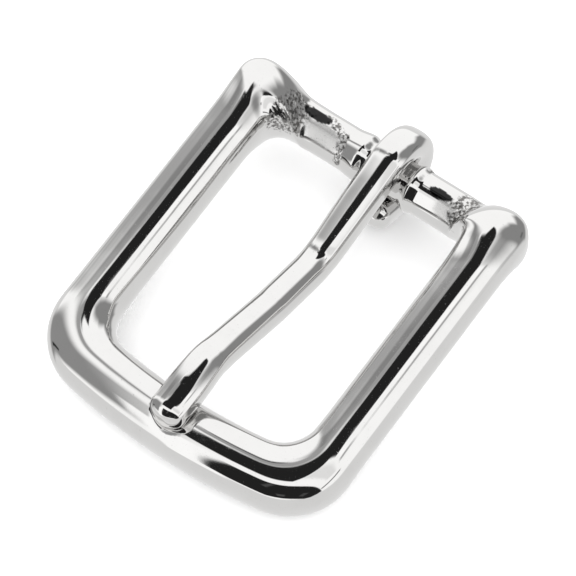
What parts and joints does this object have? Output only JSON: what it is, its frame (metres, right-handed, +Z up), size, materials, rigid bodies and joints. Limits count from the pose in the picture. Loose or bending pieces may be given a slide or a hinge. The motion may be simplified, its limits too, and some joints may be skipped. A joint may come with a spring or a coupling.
{
  "type": "heel bar buckle",
  "caption": "Cast heel bar buckle: a bowed rectangular frame of thick round rails, a lower heel bar in one piece with it, and a bent rod tongue that hinges on the bar.",
  "frame": {"origin": "on the table, under the middle of the buckle's bounding box as it lies", "axes": "+X along the heel bar to the right, +Y from the front bar to the heel bar, +Z up off the table"},
  "size_m": [0.0402, 0.0501, 0.0132],
  "materials": {
    "cast_nickel": "mirror polish, as cast at the bar's ends",
    "rod_nickel": "mirror polish"
  },
  "bodies": {
    "frame": {"frame": "cast_nickel"},
    "tongue": {"tongue": "rod_nickel"}
  },
  "joints": [
    {"name": "tongue_pivot", "type": "hinge", "parent": "frame", "child": "tongue", "pos_m": [0.0005, 0.019, 0.0061], "axis": [-1, 0, 0], "range_deg": [0, 175]}
  ]
}
